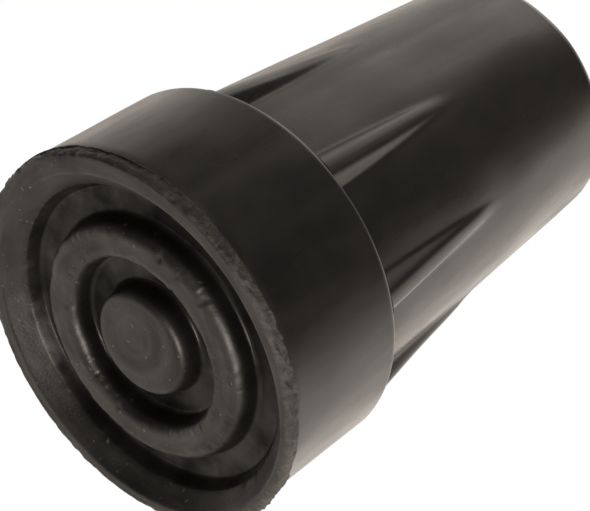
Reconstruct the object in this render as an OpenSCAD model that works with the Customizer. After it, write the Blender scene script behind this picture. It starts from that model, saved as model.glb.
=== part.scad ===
// Rubber tip for a 19 mm walking cane, moulded in one piece.
// It stands on its tread: the floor is at z = 0, the axis is +Z, and the socket opens upward.

/* [Overall] */
// Height from the floor to the mouth
tip_h = 55; // [48:0.5:70]

/* [Socket] */
// Diameter of the cane that is pushed in
socket_d = 19; // [16:0.5:20]
// Height of the socket's floor
socket_floor = 14; // [10:0.5:20]
// Lead-in bevel at the mouth
socket_lead = 0.8; // [0.4:0.1:1.4]

/* [Body] */
// Diameter where the tapered body rises from the collar
body_root_d = 31.2; // [29:0.2:31.6]
// Diameter at the mouth
mouth_d = 25.8; // [24.6:0.2:28]
// Rounding of the mouth's outer edge
mouth_round = 1.2; // [0.6:0.1:1.8]

/* [Collar] */
// Diameter of the collar at its foot
collar_d = 36; // [35.6:0.2:44]
// Height of the collar's top edge
collar_h = 15.2; // [12:0.2:20]
// Radius that the draft takes off between foot and top
collar_draft = 0.2; // [0.1:0.05:0.3]
// Bevel of the collar's top edge
collar_edge = 0.3; // [0.15:0.05:0.4]
// Height of the trimmed band where the two mould halves met
flash_h = 1.2; // [0.8:0.1:2.4]
// How far that band stands out from the collar
flash_out = 0.25; // [0.1:0.05:0.5]

/* [Ribs] */
// Ribs around the body
rib_count = 8; // [4:1:12]
// Width of a rib, also the diameter of its round back
rib_w = 3.8; // [2.6:0.1:4.4]
// How far the back stands out from the body at the collar
rib_proud = 1.6; // [0.8:0.1:1.7]
// Height above the collar at which the back dies into the body
rib_h = 20.4; // [14:0.4:28]

/* [Tread] */
// Diameter of the button in the middle
button_d = 10; // [8:0.2:11]
// Width of the groove around the button
inner_groove_w = 3.4; // [2.4:0.1:3.8]
// Width of the ring between the two grooves
ring_w = 3.1; // [2.4:0.1:3.6]
// Width of the groove around the ring
outer_groove_w = 3.3; // [2.4:0.1:3.8]
// How far the button and the ring sit above the floor
ring_recess = 0.6; // [0.4:0.1:1.8]
// Depth of the grooves, from the ring's face
groove_depth = 2.4; // [1.6:0.1:4.5]
// How far each groove wall leans in on its way down
groove_draft = 0.35; // [0.1:0.05:0.6]
// Width of the bevel inside the rim that touches the floor
rim_bevel_w = 1.6; // [0.8:0.1:2]
// Height of that bevel
rim_bevel_h = 1.3; // [0.8:0.1:2]

/* [Hidden] */
$fn = 96;
// Overlap that keeps joined and cut shapes from ending on the same face
lap = 0.5;

// Radii
socket_r = socket_d / 2;
body_root_r = body_root_d / 2;
mouth_r = mouth_d / 2;
collar_r = collar_d / 2;
collar_top_r = collar_r - collar_draft;
button_r = button_d / 2;
ring_in_r = button_r + inner_groove_w;
ring_out_r = ring_in_r + ring_w;
rim_in_r = ring_out_r + outer_groove_w;

// Tread levels above the floor
groove_floor = ring_recess + groove_depth;

// The body loses this much radius for each millimetre of height
body_taper = (body_root_r - mouth_r) / (tip_h - collar_h);

// The back of a rib runs straight from the collar's top to where it meets the body
rib_root_r = body_root_r + rib_proud;
rib_end_r = body_root_r - body_taper * rib_h;
rib_lean = atan2(rib_root_r - rib_end_r, rib_h);
rib_length = rib_h / cos(rib_lean);

// Which piece is drawn

// Half section of the solid rubber, without the socket: [radius, height]
module rubber_section() {
    difference() {
        polygon([
            [0, ring_recess],
            [button_r, ring_recess],
            [button_r + groove_draft, groove_floor],
            [ring_in_r - groove_draft, groove_floor],
            [ring_in_r, ring_recess],
            [ring_out_r, ring_recess],
            [ring_out_r + groove_draft, groove_floor],
            [rim_in_r - groove_draft, groove_floor],
            [rim_in_r, rim_bevel_h],
            [rim_in_r + rim_bevel_w, 0],
            [collar_r + flash_out, 0],
            [collar_r + flash_out, flash_h],
            [collar_r, flash_h],
            [collar_top_r, collar_h - collar_edge],
            [collar_top_r - collar_edge, collar_h],
            [body_root_r, collar_h],
            [mouth_r, tip_h],
            [0, tip_h]
        ]);
        mouth_corner();
    }
}

// What the rounding takes off the mouth's outer edge
module mouth_corner() {
    translate([mouth_r - mouth_round, tip_h - mouth_round]) {
        difference() {
            square(mouth_round + lap);
            circle(mouth_round);
        }
    }
}

// Blind hole for the cane, with its lead-in bevel
module socket() {
    rotate_extrude() {
        polygon([
            [0, socket_floor],
            [socket_r, socket_floor],
            [socket_r, tip_h - socket_lead],
            [socket_r + socket_lead, tip_h],
            [socket_r + socket_lead, tip_h + lap],
            [0, tip_h + lap]
        ]);
    }
}

// One rib: a leaning round bar, most of it buried, whose back sinks into the tapered body
module rib() {
    translate([rib_root_r, 0, collar_h])
        rotate([0, -rib_lean, 0])
            translate([-rib_w / 2, 0, -lap])
                cylinder(d = rib_w, h = rib_length + 2 * lap);
}

// The whole tip
module tip() {
    color([0.12, 0.12, 0.12])
    difference() {
        union() {
            rotate_extrude()
                rubber_section();
            for (i = [0 : rib_count - 1])
                rotate([0, 0, i * 360 / rib_count])
                    rib();
        }
        socket();
    }
}

tip();
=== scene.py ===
"""Rubber cane tip: one moulded piece, worked out as a surface over its solid. All lengths are in metres.

The tip stands on its tread at z = 0 and its socket opens up +Z. In the photograph it lies down with the
tread towards the camera, so the camera here looks up at the tread from below the floor.
"""
import math

import bpy
import numpy as np
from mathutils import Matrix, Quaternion, Vector


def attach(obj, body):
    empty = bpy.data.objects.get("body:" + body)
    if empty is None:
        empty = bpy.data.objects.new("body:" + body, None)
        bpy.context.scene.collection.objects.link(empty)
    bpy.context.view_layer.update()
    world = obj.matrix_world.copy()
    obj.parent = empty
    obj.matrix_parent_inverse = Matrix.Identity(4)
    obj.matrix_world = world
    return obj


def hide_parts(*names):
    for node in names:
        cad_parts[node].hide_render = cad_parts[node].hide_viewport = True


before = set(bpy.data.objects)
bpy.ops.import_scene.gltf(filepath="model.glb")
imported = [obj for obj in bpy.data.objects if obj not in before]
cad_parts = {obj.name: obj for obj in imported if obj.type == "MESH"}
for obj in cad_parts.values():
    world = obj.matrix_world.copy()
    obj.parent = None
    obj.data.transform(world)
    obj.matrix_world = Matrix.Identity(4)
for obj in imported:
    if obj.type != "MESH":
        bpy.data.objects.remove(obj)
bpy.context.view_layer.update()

# Main heights
TIP_H = 0.0550
SOCKET_FLOOR = 0.0140
COLLAR_H = 0.0152
# Main radii
SOCKET_R = 0.0095
SOCKET_LEAD = 0.0008
MOUTH_R = 0.0129
BODY_ROOT_R = 0.0156
COLLAR_R = 0.0180
COLLAR_TOP_R = 0.0178
# Band of trimmed mould flash round the foot
FLASH_H = 0.0012
FLASH_OUT = 0.00025
FLASH_R = COLLAR_R + FLASH_OUT
# Faces of the tread: the button, the ring, and the rim that touches the floor
BUTTON_R = 0.0050
RING_IN_R = 0.0084
RING_OUT_R = 0.0115
RING_LEVEL = 0.0006
RIM_FOOT_R = 0.0168
# Bevel inside the rim: where its top edge lies
RIM_BEVEL_R = 0.0151
RIM_BEVEL_H = 0.0016
# Grooves: their floor, how far each wall leans in, and where the outer floor meets the rim's wall
GROOVE_FLOOR = 0.0030
GROOVE_DRAFT = 0.00035
OUTER_GROOVE_R = 0.01445
# The two halves of the mould met out of line, so the tread and the flash band sit off the axis
TREAD_OFFSET = 0.0008
FLASH_OFFSET = 0.00035
OFFSET_AZIMUTH = 10.0
# Ribs: how many, how wide and high, how their feet close in and how steep their flanks are
RIB_COUNT = 8
RIB_W = 0.0038
RIB_PROUD = 0.0016
RIB_H = 0.0204
RIB_CLOSING = 0.5
RIB_FLANK_SLOPE = 1.45
# Share of a rib's length, at its end, over which it fades out
RIB_FADE = 0.2
# Roundings of a rib's crest and of its foot
RIB_CREASE = 0.0004
RIB_FILLET = 0.0002

# Torn skin of the flash band: height of its coarse and fine lumps, and how patchy they are
TORN_COARSE = 0.00013
TORN_FINE = 0.00009
TORN_MEAN = 0.65
TORN_PATCHES = 0.5
# Share of the rim's face, in from its outer edge, that is torn with the band
TORN_INWARDS = 0.2
# How far the band's top edge wanders up and down, and the height where the collar is straight again
WANDER_COARSE = 0.0001
WANDER_FINE = 0.00008
WANDER_TOP = 0.006
# Nicks and chafing in the edges of the tread, and the slow unevenness of the whole moulding
NICK_DEPTH = 0.00018
NICK_FROM = 0.45
CHAFE = 0.00004
UNEVENNESS = 0.00005

# Grid of the surface
COLUMNS = 540
ARC_ROWS = 5
# How far the columns crowd towards the ribs: 0 for even steps
COLUMN_CROWDING = 0.4

# A mask's two ends, and the heights and radii between which each mask goes from off to fully on
OFF_TO_ON = (0.0, 1.0)
WORN_HEIGHTS = (0.0022, 0.0012)
BAND_HEIGHTS = (0.0015, FLASH_H)
BAND_RADII = (COLLAR_TOP_R, 0.0181)
GROOVE_HEIGHTS = (0.0012, 0.0019)
GROOVE_RADII = (0.0172, 0.0166)
BELOW_SOCKET_HEIGHTS = (0.0125, 0.0115)
# Share of the band's own finish where its mask is fully on
BAND_COVER = 0.8

# Colours of the rubber
MOULDED_DARK = (0.013, 0.0123, 0.0113, 1.0)
MOULDED_PALE = (0.023, 0.0218, 0.0200, 1.0)
WORN_DARK = (0.007, 0.0066, 0.006, 1.0)
WORN_PALE = (0.025, 0.0237, 0.0215, 1.0)
GRIT = (0.15, 0.14, 0.125, 1.0)
DUST = (0.14, 0.134, 0.125, 1.0)
# Share of dust on the torn band, from its hollows to its knobs
DUST_COVER = (0.45, 1.0)
# Roughness and shine, each from the least to the most that its pattern gives
SIDE_ROUGHNESS = (0.22, 0.42)
TREAD_ROUGHNESS = (0.36, 0.54)
BAND_ROUGHNESS = 0.85
SIDE_SHINE = 0.5
TREAD_SHINE = (0.31, 0.52)
# Low shine in the grooves is painted shade in the recesses
SHADED_GROOVE_SHINE = (0.04, 0.24)
# Fine relief: its strength, and how high it would stand at full strength
FLOW_STRENGTH = 0.08
FLOW_RELIEF = 0.0004
TORN_RELIEF = 0.0006
GRAIN_STRENGTH = (0.03, 0.22)
GRAIN_RELIEF = 0.00012
# What most values of a noise pattern lie between, what their middle lies between, and its rare peaks
MOST_NOISE = (0.3, 0.7)
MID_NOISE = (0.35, 0.65)
PEAK_NOISE = (0.68, 0.76)
# Flow streaks are drawn out along the axis, and worn marks change faster outwards than along
STREAK_STRETCH = (1.0, 1.0, 0.25)
MARKS_OUTWARDS = 3.5

# Floor: half its width, its level just under the tread, and its finish
FLOOR_HALF = 3.0
FLOOR_LEVEL = -0.0002
FLOOR_COLOUR = (0.78, 0.86, 0.95, 1.0)
FLOOR_ROUGHNESS = 0.7

# Light: its colour on the rubber, and the side on which the surround is dim, above and below the floor
WARM_WHITE = (1.0, 0.91, 0.82)
WHITE = (1.0, 1.0, 1.0, 1.0)
DIM_SIDE_ABOVE = (-0.087, -0.996, 0.0)
DIM_SIDE_BELOW = (-0.707, -0.707, 0.0)
# Rise of a direction where the one dim side gives way to the other
DIM_SIDES_MEET = (0.1, -0.1)
# How far a direction faces the dim side, from where the surround is full to where it is dim
DIM_FACING = (-0.10, 0.34)
FULL_TO_DIM = (1.0, 0.15)

# Camera: where it looks, from which side, how far off and how far rolled
AIM = Vector((0.00177, 0.00031, 0.02088))
CAMERA_AZIMUTH = 10.0
CAMERA_ELEVATION = -39.0
CAMERA_DISTANCE = 0.20454
CAMERA_ROLL = 56.35
CAMERA_LENS = 133.7

# Half section of the tip, from the middle of the tread out, up the outside and down the socket.
# Each corner: name, radius, height, rounding, steps on the straight stretch after it
SECTION = [
    ("button_middle", 0.0, RING_LEVEL, 0.0, 4),
    ("button_edge", BUTTON_R, RING_LEVEL, 0.0007, 3),
    ("inner_groove_in", BUTTON_R + GROOVE_DRAFT, GROOVE_FLOOR, 0.0005, 2),
    ("inner_groove_out", RING_IN_R - GROOVE_DRAFT, GROOVE_FLOOR, 0.0005, 3),
    ("ring_inner_edge", RING_IN_R, RING_LEVEL, 0.0009, 5),
    ("ring_outer_edge", RING_OUT_R, RING_LEVEL, 0.0010, 3),
    ("outer_groove_in", RING_OUT_R + GROOVE_DRAFT, GROOVE_FLOOR, 0.0005, 2),
    ("outer_groove_out", OUTER_GROOVE_R, GROOVE_FLOOR, 0.0005, 3),
    ("bevel_top", RIM_BEVEL_R, RIM_BEVEL_H, 0.0004, 4),
    ("bevel_foot", RIM_FOOT_R, 0.0, 0.0005, 4),
    ("flash_foot", FLASH_R, 0.0, 0.0004, 5),
    ("flash_top", FLASH_R, FLASH_H, 0.0001, 1),
    ("collar_foot", COLLAR_R, FLASH_H, 0.0001, 12),
    ("collar_edge", COLLAR_TOP_R, COLLAR_H, 0.0005, 4),
    ("body_root", BODY_ROOT_R, COLLAR_H, 0.0005, 40),
    ("mouth_outside", MOUTH_R, TIP_H, 0.0012, 2),
    ("mouth_inside", SOCKET_R + SOCKET_LEAD, TIP_H, 0.0003, 1),
    ("socket_top", SOCKET_R, TIP_H - SOCKET_LEAD, 0.0004, 4),
    ("socket_corner", SOCKET_R, SOCKET_FLOOR, 0.0008, 4),
    ("socket_middle", 0.0, SOCKET_FLOOR, 0.0, 0),
]
CORNER = {name: place for place, (name, *_) in enumerate(SECTION)}


def soft_min(a, b, blend):
    """The lower of two heights, with the crease between them rounded over the length blend."""
    return 0.5 * (a + b - np.sqrt((a - b) ** 2 + blend ** 2))


def soft_step(low, high, x):
    """0 below low, 1 above high, and a smooth S between."""
    t = np.clip((x - low) / (high - low), 0.0, 1.0)
    return t * t * (3.0 - 2.0 * t)


def lumps(turn, rise, cells_round, cells_up, seed):
    """Uneven heights from -1 to 1: random values on a lattice that closes round the axis, joined by
    smooth S curves. turn is the share of a full turn, and rise runs from 0 to 1."""
    lattice = np.random.default_rng(seed).uniform(-1.0, 1.0, (cells_up + 2, cells_round))
    x = turn * cells_round
    y = np.clip(rise, 0.0, 1.0) * cells_up
    column = np.floor(x).astype(int)
    row = np.floor(y).astype(int)
    fx = soft_step(0.0, 1.0, x - column)
    fy = soft_step(0.0, 1.0, y - row)
    left = column % cells_round
    right = (column + 1) % cells_round
    low = lattice[row, left] * (1.0 - fx) + lattice[row, right] * fx
    high = lattice[row + 1, left] * (1.0 - fx) + lattice[row + 1, right] * fx
    return low * (1.0 - fy) + high * fy


def rounded_section():
    """Radius, height and place of each row of the section. Every corner gives way to the arc that
    touches both its sides, and every straight stretch is cut into steps that crowd towards its ends. A
    row on a corner's arc has the corner's number as its place, and a row after it has that number plus
    the share of the way to the next corner."""
    corner = np.array([(radius, height) for _, radius, height, _, _ in SECTION])
    rounding = np.array([size for _, _, _, size, _ in SECTION])[1:-1, None]
    back = corner[:-2] - corner[1:-1]
    ahead = corner[2:] - corner[1:-1]
    back /= np.linalg.norm(back, axis=1)[:, None]
    ahead /= np.linalg.norm(ahead, axis=1)[:, None]
    half = 0.5 * np.arccos((back * ahead).sum(1))[:, None]
    reach = rounding / np.tan(half)
    start = corner[1:-1] + back * reach
    end = corner[1:-1] + ahead * reach
    # An arc as a weighted mean of its two ends and the corner
    s = np.linspace(0.0, 1.0, ARC_ROWS)[:, None, None]
    pull = 2.0 * s * (1.0 - s) * np.sin(half)
    arcs = (1.0 - s) ** 2 * start + pull * corner[1:-1] + s ** 2 * end
    arcs /= (1.0 - s) ** 2 + pull + s ** 2
    starts = np.vstack([start, corner[-1:]])
    ends = np.vstack([corner[:1], end])
    rows = [corner[:1]]
    places = [np.zeros(1)]
    for i, (_, _, _, _, steps) in enumerate(SECTION[:-1]):
        share = 0.5 - 0.5 * np.cos(np.linspace(0.0, math.pi, steps + 1)[1:-1, None])
        rows.append(ends[i] * (1.0 - share) + starts[i] * share)
        places.append(i + share[:, 0])
        if i + 2 < len(SECTION):
            rows.append(arcs[:, i])
            places.append(np.full(ARC_ROWS, i + 1.0))
    rows.append(corner[-1:])
    places.append(np.full(1, len(SECTION) - 1.0))
    points = np.vstack(rows)
    return points[:, 0], points[:, 1], np.concatenate(places)


def rib_height(theta, z):
    """How far the ribs stand out from the body. The back runs in a straight line from its full height
    at the collar to nothing where the rib ends, the feet of the flanks close in on a curve to the same
    point, the flanks rise from them at a steady slope, and the lower of back and flank holds, with the
    creases rounded. The last fifth fades out."""
    left = np.maximum(1.0 - (z - COLLAR_H) / RIB_H, 0.0)
    back = RIB_PROUD * left
    foot = 0.5 * RIB_W * left ** RIB_CLOSING
    sector = 2.0 * math.pi / RIB_COUNT
    offset = (theta + 0.5 * sector) % sector - 0.5 * sector
    body_taper = (BODY_ROOT_R - MOUTH_R) / (TIP_H - COLLAR_H)
    across = np.abs(offset) * (BODY_ROOT_R - (z - COLLAR_H) * body_taper)
    above = soft_min(back, (foot - across) * RIB_FLANK_SLOPE, RIB_CREASE)
    return 0.5 * (above + np.sqrt(above ** 2 + RIB_FILLET ** 2)) * soft_step(0.0, RIB_FADE, left)


def tip_surface():
    """The whole moulding as a grid of section rows by columns round the axis. The section is turned
    about +Z, the ribs are added to the body and carried out over the shoulder, the flash band is torn
    by lumps of two sizes, the tread's edges are nicked and chafed, slow unevenness is added as for
    moulded rubber, and the tread is moved off the axis."""
    radius, height, place = rounded_section()
    turn = np.arange(COLUMNS) / COLUMNS
    ripple = 2.0 * math.pi * RIB_COUNT
    turn -= COLUMN_CROWDING * np.sin(ripple * turn) / ripple
    theta = 2.0 * math.pi * turn
    r = np.repeat(radius[:, None], COLUMNS, 1)
    z = np.repeat(height[:, None], COLUMNS, 1)
    at = place[:, None]
    turn = turn[None, :]
    theta = theta[None, :]
    no_rise = np.zeros_like(z)

    # Ribs on the body, and the shoulder's inner edge that runs round their feet
    body = (at >= CORNER["body_root"]) & (at < CORNER["mouth_outside"])
    shoulder = (at > CORNER["collar_edge"]) & (at < CORNER["body_root"])
    shoulder_share = np.clip((COLLAR_TOP_R - r) / (COLLAR_TOP_R - BODY_ROOT_R), 0.0, 1.0)
    rib = rib_height(theta, np.maximum(z, COLLAR_H))
    r += rib * np.where(body, 1.0, np.where(shoulder, shoulder_share, 0.0))

    # Torn flash band, with the outer part of the rim's face
    band = (at >= CORNER["flash_foot"] - TORN_INWARDS) & (at < CORNER["collar_foot"])
    up_band = np.clip(z / FLASH_H, 0.0, 1.0)
    coarse = TORN_COARSE * lumps(turn, up_band, cells_round=150, cells_up=3, seed=3)
    fine = TORN_FINE * lumps(turn, up_band, cells_round=310, cells_up=5, seed=4)
    patchy = TORN_MEAN + TORN_PATCHES * lumps(turn, no_rise, cells_round=17, cells_up=1, seed=10)
    r += np.where(band, (coarse + fine) * patchy, 0.0)

    # The band's top edge wanders up and down, and the foot of the collar with it
    coarse = WANDER_COARSE * lumps(turn, no_rise, cells_round=60, cells_up=1, seed=5)
    fine = WANDER_FINE * lumps(turn, no_rise, cells_round=230, cells_up=1, seed=6)
    above_band = 1.0 - soft_step(FLASH_H, WANDER_TOP, z)
    near_band = np.where(at <= CORNER["collar_foot"], up_band, above_band)
    outside = (at >= CORNER["flash_foot"]) & (at < CORNER["collar_edge"])
    z += np.where(outside, (coarse + fine) * near_band, 0.0)

    # Nicks and chafing in the edges of the tread
    outwards = r / COLLAR_R
    peaks = lumps(turn, outwards, cells_round=90, cells_up=14, seed=7) - NICK_FROM
    nick = NICK_DEPTH * np.maximum(peaks, 0.0) / (1.0 - NICK_FROM)
    chafe = CHAFE * lumps(turn, outwards, cells_round=110, cells_up=40, seed=11)
    edges = [CORNER[name] for name in ("ring_inner_edge", "ring_outer_edge", "bevel_top")]
    z += np.where(np.isin(at, edges), nick + chafe, 0.0)

    # Slow unevenness of the tread outside the button, and of the outer wall
    tread = at < CORNER["flash_foot"]
    beyond_button = soft_step(BUTTON_R, RING_IN_R, r)
    uneven = UNEVENNESS * lumps(turn, outwards, cells_round=36, cells_up=8, seed=8)
    z += np.where(tread, beyond_button * uneven, 0.0)
    wall = (at > CORNER["collar_foot"]) & (at < CORNER["mouth_inside"])
    uneven = UNEVENNESS * lumps(turn, z / TIP_H, cells_round=22, cells_up=9, seed=9)
    r += np.where(wall, uneven, 0.0)

    # The tread sits off the axis, the flash band less so, and the rim's face takes up the difference
    stations = [CORNER[name] for name in ("bevel_foot", "flash_foot", "flash_top", "collar_foot")]
    shift = np.interp(at, stations, [TREAD_OFFSET, FLASH_OFFSET, FLASH_OFFSET, 0.0])
    azimuth = math.radians(OFFSET_AZIMUTH)
    x = r * np.cos(theta) + shift * math.cos(azimuth)
    y = r * np.sin(theta) + shift * math.sin(azimuth)
    return np.stack([x, y, z], axis=-1)


def closed_mesh(name, grid):
    """A mesh from a grid that closes round the axis. The first and last rows lie on the axis and become
    single points, with a fan of triangles to the next row, and squares join all other rows."""
    rows, columns, _ = grid.shape
    inner = grid[1:-1].reshape(-1, 3)
    points = np.vstack([inner, grid[0, :1], grid[-1, :1]])
    index = np.arange((rows - 2) * columns).reshape(rows - 2, columns)
    after = np.roll(index, -1, axis=1)
    squares = np.stack([index[:-1], after[:-1], after[1:], index[1:]], axis=-1).reshape(-1, 4)
    first = np.full(columns, len(inner))
    last = np.full(columns, len(inner) + 1)
    first_fan = np.stack([first, after[0], index[0]], axis=1)
    last_fan = np.stack([last, index[-1], after[-1]], axis=1)
    mesh = bpy.data.meshes.new(name)
    mesh.from_pydata(points.tolist(), [], squares.tolist() + first_fan.tolist() + last_fan.tolist())
    mesh.polygons.foreach_set("use_smooth", np.ones(len(mesh.polygons), dtype=bool))
    mesh.update()
    piece = bpy.data.objects.new(name, mesh)
    bpy.context.collection.objects.link(piece)
    return piece


def feed(tree, source, socket):
    """Link a socket where its source is another node's output, and set it where the source is a plain
    value."""
    if isinstance(source, bpy.types.NodeSocket):
        tree.links.new(source, socket)
    else:
        socket.default_value = source


def node(tree, kind, **inputs):
    """A new shader node with some of its inputs fed by name, where an underscore stands for a space."""
    made = tree.nodes.new(kind)
    for name, source in inputs.items():
        feed(tree, source, made.inputs[name.replace("_", " ")])
    return made


def arithmetic(tree, kind, operation, *sources):
    """A new node of arithmetic with its operation chosen and its inputs fed in order."""
    made = tree.nodes.new(kind)
    made.operation = operation
    for source, socket in zip(sources, made.inputs):
        feed(tree, source, socket)
    return made


def product(tree, a, b):
    """One value times another."""
    return arithmetic(tree, "ShaderNodeMath", "MULTIPLY", a, b).outputs["Value"]


def facing_share(tree, direction, side):
    """How far a direction faces a side: the dot product of the two."""
    return arithmetic(tree, "ShaderNodeVectorMath", "DOT_PRODUCT", direction, side).outputs["Value"]


def ranged(tree, value, reach, result, curve="LINEAR"):
    """A value carried from one range to another: at either end of its reach, and past it, it gives the
    same end of the result."""
    low, high = reach
    at_low, at_high = result
    made = node(
        tree, "ShaderNodeMapRange",
        Value=value, From_Min=low, From_Max=high, To_Min=at_low, To_Max=at_high,
    )
    made.interpolation_type = curve
    return made.outputs["Result"]


def mixed(tree, kind, factor, a, b):
    """A mix that is a where the factor is 0 and b where it is 1. kind is FLOAT for numbers, RGBA for
    colours."""
    made = tree.nodes.new("ShaderNodeMix")
    made.data_type = kind
    feed(tree, factor, made.inputs["Factor"])
    feed(tree, a, made.inputs["A"])
    feed(tree, b, made.inputs["B"])
    return made.outputs["Result"]


def noise(tree, place, scale, detail, roughness, fourth=None):
    """Cloudy noise from 0 to 1 over a place, and over a fourth measure where one is given."""
    made = node(tree, "ShaderNodeTexNoise", Vector=place, Scale=scale, Detail=detail, Roughness=roughness)
    if fourth is not None:
        made.noise_dimensions = "4D"
        feed(tree, fourth, made.inputs["W"])
    return made.outputs["Fac"]


def ramp(tree, factor, *stops):
    """A colour that runs between two stops, each a share of the factor and the colour there."""
    made = node(tree, "ShaderNodeValToRGB", Fac=factor)
    for element, (share, colour) in zip(made.color_ramp.elements, stops):
        element.position = share
        element.color = colour
    return made.outputs["Color"]


def relief(tree, height, strength, distance, **under):
    """The surface's normal tilted by a pattern of heights, over the Normal that is given under it, if
    any."""
    made = node(tree, "ShaderNodeBump", Height=height, Strength=strength, Distance=distance, **under)
    return made.outputs["Normal"]


def height_and_radius(tree, place):
    """Height above the floor, and distance from the axis: the length of the place with its height
    struck out."""
    height = node(tree, "ShaderNodeSeparateXYZ", Vector=place).outputs["Z"]
    level = arithmetic(tree, "ShaderNodeVectorMath", "MULTIPLY", place, (1.0, 1.0, 0.0)).outputs["Vector"]
    radius = arithmetic(tree, "ShaderNodeVectorMath", "LENGTH", level).outputs["Value"]
    return height, radius


def black_rubber():
    """Satin black moulded rubber. Masks by height and radius part the moulded sides from the worn
    tread, the torn band round the foot and the grooves. Streaks along the axis vary the gloss of the
    sides, marks that run round it blotch the worn faces, which hold specks of grit, the torn band is
    knobbly, dusty and matt, and the grooves get less shine as painted shade in the recesses."""
    material = bpy.data.materials.new("black_rubber")
    material.use_nodes = True
    tree = material.node_tree
    shader = tree.nodes["Principled BSDF"]
    place = tree.nodes.new("ShaderNodeTexCoord").outputs["Object"]
    height, radius = height_and_radius(tree, place)

    # Masks. The band is low and outermost. The grooves lie above the tread's faces, inside the collar's
    # wall and below the socket
    worn = ranged(tree, height, WORN_HEIGHTS, OFF_TO_ON)
    outermost = ranged(tree, radius, BAND_RADII, (0.0, BAND_COVER))
    on_band = product(tree, outermost, ranged(tree, height, BAND_HEIGHTS, OFF_TO_ON))
    risen = ranged(tree, height, GROOVE_HEIGHTS, OFF_TO_ON)
    inside = ranged(tree, radius, GROOVE_RADII, OFF_TO_ON)
    below_socket = ranged(tree, height, BELOW_SOCKET_HEIGHTS, OFF_TO_ON)
    # The groove mask carries the painted shade of the grooves
    groove = product(tree, product(tree, risen, inside), below_socket)

    # Patterns
    stretched = node(tree, "ShaderNodeMapping", Vector=place, Scale=STREAK_STRETCH).outputs["Vector"]
    outwards = product(tree, radius, MARKS_OUTWARDS)
    streaks = noise(tree, stretched, scale=220.0, detail=5.0, roughness=0.6)
    clouds = noise(tree, place, scale=260.0, detail=5.0, roughness=0.55)
    marks = noise(tree, place, scale=140.0, detail=4.0, roughness=0.6, fourth=outwards)
    knobs = noise(tree, place, scale=1000.0, detail=3.0, roughness=0.55)
    specks = noise(tree, place, scale=1700.0, detail=2.0, roughness=0.5)
    grain = noise(tree, place, scale=4200.0, detail=3.0, roughness=0.6)

    # Colour: near black, blotchy and gritty where worn, and dusty on the torn band
    moulded = ramp(tree, clouds, (0.36, MOULDED_DARK), (0.66, MOULDED_PALE))
    blotched = ramp(tree, marks, (0.34, WORN_DARK), (0.68, WORN_PALE))
    gritty = mixed(tree, "RGBA", ranged(tree, specks, PEAK_NOISE, OFF_TO_ON), blotched, GRIT)
    rubber = mixed(tree, "RGBA", worn, moulded, gritty)
    dust = product(tree, on_band, ranged(tree, knobs, MID_NOISE, DUST_COVER))
    feed(tree, mixed(tree, "RGBA", dust, rubber, DUST), shader.inputs["Base Color"])

    # Roughness: streaked on the moulded sides, cloudy on the tread and matt on the torn band
    sides = ranged(tree, streaks, MOST_NOISE, SIDE_ROUGHNESS)
    tread = ranged(tree, clouds, MOST_NOISE, TREAD_ROUGHNESS)
    smooth = mixed(tree, "FLOAT", worn, sides, tread)
    feed(tree, mixed(tree, "FLOAT", on_band, smooth, BAND_ROUGHNESS), shader.inputs["Roughness"])

    # Shine: blotchy on the worn faces, and least in the grooves, where the low shine is painted shade in
    # the recesses
    scuffed = ranged(tree, marks, MID_NOISE, TREAD_SHINE)
    groove_shade = ranged(tree, clouds, MID_NOISE, SHADED_GROOVE_SHINE)
    faces = mixed(tree, "FLOAT", worn, SIDE_SHINE, scuffed)
    feed(tree, mixed(tree, "FLOAT", groove, faces, groove_shade), shader.inputs["Specular IOR Level"])

    # Relief, one over the other: flow streaks, torn skin and a fine grain that is stronger where worn
    flow = relief(tree, streaks, FLOW_STRENGTH, FLOW_RELIEF)
    torn = relief(tree, knobs, on_band, TORN_RELIEF, Normal=flow)
    depth = ranged(tree, worn, OFF_TO_ON, GRAIN_STRENGTH)
    feed(tree, relief(tree, grain, depth, GRAIN_RELIEF, Normal=torn), shader.inputs["Normal"])
    return material


def either_shader(tree, choice, first, second, output):
    """Give the output the first shader where the choice is 0, and the second where it is 1."""
    mix = tree.nodes.new("ShaderNodeMixShader")
    for source, socket in zip((choice, first, second), mix.inputs):
        tree.links.new(source, socket)
    tree.links.new(mix.outputs["Shader"], tree.nodes[output].inputs["Surface"])


def pale_floor():
    """A pale floor just under the tread. It shows only its upper side, and lets the light from below
    reach the tread, because the photograph's camera looks up through it."""
    signs = [(-1, -1), (1, -1), (1, 1), (-1, 1)]
    corners = [(x * FLOOR_HALF, y * FLOOR_HALF, FLOOR_LEVEL) for x, y in signs]
    mesh = bpy.data.meshes.new("floor")
    mesh.from_pydata(corners, [], [(0, 1, 2, 3)])
    floor = bpy.data.objects.new("floor", mesh)
    bpy.context.collection.objects.link(floor)
    floor.visible_shadow = False
    floor.visible_diffuse = False
    floor.visible_glossy = False
    material = bpy.data.materials.new("pale_floor")
    material.use_nodes = True
    tree = material.node_tree
    shader = tree.nodes["Principled BSDF"]
    shader.inputs["Base Color"].default_value = FLOOR_COLOUR
    shader.inputs["Roughness"].default_value = FLOOR_ROUGHNESS
    clear = tree.nodes.new("ShaderNodeBsdfTransparent").outputs["BSDF"]
    under_side = tree.nodes.new("ShaderNodeNewGeometry").outputs["Backfacing"]
    either_shader(tree, under_side, shader.outputs["BSDF"], clear, "Material Output")
    mesh.materials.append(material)


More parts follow.
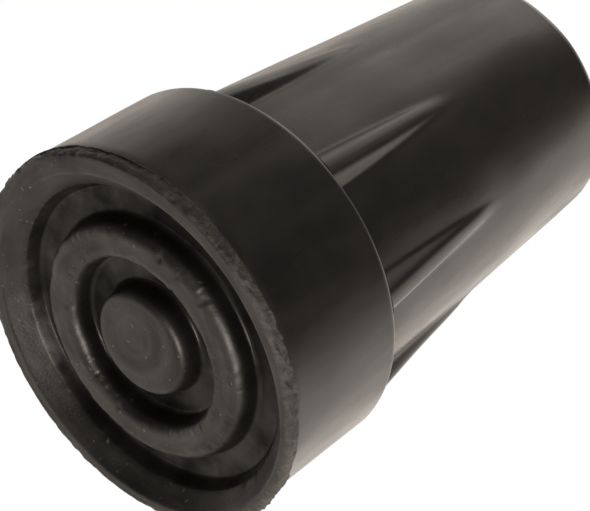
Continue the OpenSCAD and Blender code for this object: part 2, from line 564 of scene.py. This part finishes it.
def studio_surround():
    """A white background for the camera, and for the rubber a bright surround that is dim on one side.
    How far a direction faces the dim side is their dot product, and the brightness falls on a smooth S
    as it grows. Below the floor another side is dim than above it."""
    world = bpy.data.worlds.new("studio")
    bpy.context.scene.world = world
    world.use_nodes = True
    tree = world.node_tree
    direction = tree.nodes.new("ShaderNodeTexCoord").outputs["Generated"]
    above = facing_share(tree, direction, DIM_SIDE_ABOVE)
    below = facing_share(tree, direction, DIM_SIDE_BELOW)
    rise = node(tree, "ShaderNodeSeparateXYZ", Vector=direction).outputs["Z"]
    under = ranged(tree, rise, DIM_SIDES_MEET, OFF_TO_ON)
    facing = mixed(tree, "FLOAT", under, above, below)
    strength = ranged(tree, facing, DIM_FACING, FULL_TO_DIM, curve="SMOOTHSTEP")
    lit = node(tree, "ShaderNodeBackground", Color=(*WARM_WHITE, 1.0), Strength=strength)
    seen = tree.nodes["Background"]
    seen.inputs["Color"].default_value = WHITE
    seen.inputs["Strength"].default_value = 1.0
    camera_ray = tree.nodes.new("ShaderNodeLightPath").outputs["Is Camera Ray"]
    either_shader(tree, camera_ray, lit.outputs["Background"], seen.outputs["Background"], "World Output")


def soft_box(name, towards, distance, side, watts):
    """A square area light in the given direction from the middle of the tip, facing it."""
    light = bpy.data.lights.new(name, "AREA")
    light.shape = "SQUARE"
    light.size = side
    light.energy = watts
    light.color = WARM_WHITE
    lamp = bpy.data.objects.new(name, light)
    bpy.context.collection.objects.link(lamp)
    way = Vector(towards).normalized()
    lamp.location = Vector((0.0, 0.0, 0.5 * TIP_H)) + way * distance
    lamp.visible_camera = False
    lamp.rotation_mode = "QUATERNION"
    lamp.rotation_quaternion = (-way).to_track_quat("-Z", "Y")
    return lamp


def studio_light():
    """The surround and three soft boxes: one above, a large card that lights the sides, and a small
    window that only puts glints on the tread."""
    studio_surround()
    soft_box("above", towards=(-0.38, -0.27, 0.88), distance=0.35, side=0.22, watts=0.22)
    soft_box("card", towards=(0.52, 0.62, 0.588), distance=0.60, side=1.0, watts=1.8)
    window = soft_box("window", towards=(0.62, -0.52, -0.58), distance=0.35, side=0.12, watts=1.6)
    window.visible_diffuse = False


def photo_camera():
    """A camera round the aim point, at its azimuth and elevation, turned about its own line of sight by
    the roll."""
    azimuth = math.radians(CAMERA_AZIMUTH)
    elevation = math.radians(CAMERA_ELEVATION)
    level = math.cos(elevation)
    back = Vector((math.sin(azimuth) * level, -math.cos(azimuth) * level, math.sin(elevation)))
    data = bpy.data.cameras.new("photo_camera")
    data.lens = CAMERA_LENS
    data.sensor_width = 36.0
    data.clip_start = 0.005
    data.clip_end = 10.0
    camera = bpy.data.objects.new("photo_camera", data)
    bpy.context.collection.objects.link(camera)
    camera.location = AIM + back * CAMERA_DISTANCE
    camera.rotation_mode = "QUATERNION"
    roll = Quaternion((0.0, 0.0, 1.0), math.radians(CAMERA_ROLL))
    camera.rotation_quaternion = (-back).to_track_quat("-Z", "Y") @ roll
    bpy.context.scene.camera = camera


tip = closed_mesh("rubber_tip", tip_surface())
tip.data.materials.append(black_rubber())
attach(tip, "root")
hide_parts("tip")

pale_floor()
studio_light()
photo_camera()
bpy.context.scene.view_settings.view_transform = "Standard"
